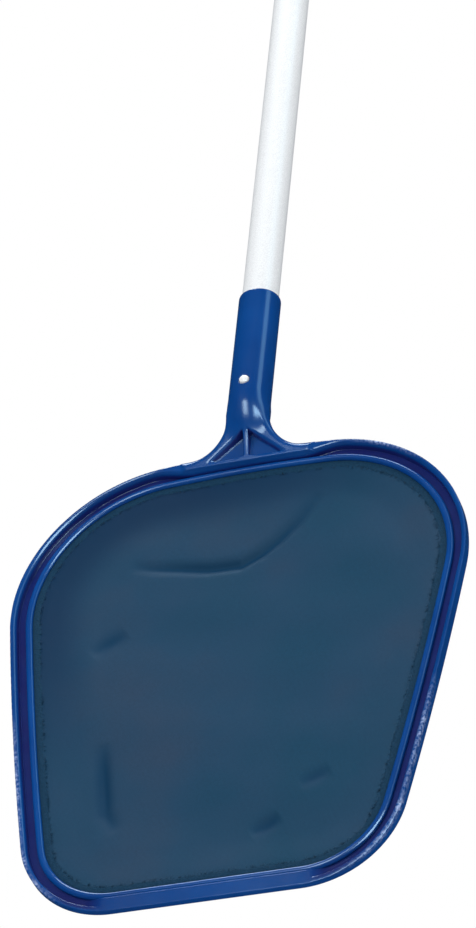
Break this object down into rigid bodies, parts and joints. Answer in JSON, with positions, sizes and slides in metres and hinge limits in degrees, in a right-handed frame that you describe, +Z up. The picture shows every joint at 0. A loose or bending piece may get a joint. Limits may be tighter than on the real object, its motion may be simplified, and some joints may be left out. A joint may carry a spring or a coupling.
{
  "type": "leaf skimmer net",
  "caption": "Flat pool leaf skimmer: a rounded plastic frame with a stretched net, snapped onto a telescopic pole with a twist lock, a ribbed grip and a hanging hole.",
  "frame": {"origin": "centre of the hanging hole in the pole's end cap", "axes": "+Z up the pole when it hangs from the hole, -Y the open front of the net, +X to the right of someone who looks at that front"},
  "size_m": [0.317, 0.0394, 1.2657],
  "materials": {
    "frame_plastic": "gloss injection moulded blue",
    "ring_plastic": "gloss injection moulded blue",
    "net_fabric": "fine woven polyester mesh",
    "hem_fabric": "folded mesh with a raw edge",
    "button_plastic": "white moulded",
    "spring_steel": "bright strip",
    "tube_aluminium": "bright satin anodised",
    "outer_aluminium": "satin anodised",
    "bush_plastic": "natural nylon",
    "lock_plastic": "fine moulded texture",
    "pin_steel": "plain rivet",
    "grip_rubber": "matte ribbed"
  },
  "bodies": {
    "pole": {"outer_tube": "outer_aluminium", "hand_grip": "grip_rubber", "end_cap": "lock_plastic", "cap_rivets": "pin_steel", "lock_ferrule": "lock_plastic", "ferrule_rivets": "pin_steel", "lock_collet": "bush_plastic"},
    "net_end": {"skimmer_frame": "frame_plastic", "retaining_ring": "ring_plastic", "net_mesh": "net_fabric", "net_hem": "hem_fabric", "inner_tube": "tube_aluminium", "tube_end_plug": "bush_plastic", "glide_bush": "bush_plastic", "bush_pin": "pin_steel", "button_spring": "spring_steel"},
    "collar": {"lock_collar": "lock_plastic"},
    "front_snap_button": {"front_button": "button_plastic"},
    "rear_snap_button": {"rear_button": "button_plastic"}
  },
  "joints": [
    {"name": "telescope", "type": "slide", "parent": "pole", "child": "net_end", "axis": [0, 0, -1], "range_m": [-0.27, 0.05]},
    {"name": "collar_twist", "type": "hinge", "parent": "pole", "child": "collar", "pos_m": [0, 0, -0.421], "axis": [0, 0, -1], "range_deg": [0, 90]},
    {"name": "front_button_press", "type": "slide", "parent": "net_end", "child": "front_snap_button", "axis": [0, 1, 0], "range_m": [0, 0.0032], "stiffness_N_per_m": 1500, "springref_m": -0.004, "deforming": ["button_spring"]},
    {"name": "rear_button_press", "type": "slide", "parent": "net_end", "child": "rear_snap_button", "axis": [0, -1, 0], "range_m": [0, 0.0032], "stiffness_N_per_m": 1500, "springref_m": -0.004, "deforming": ["button_spring"]}
  ]
}
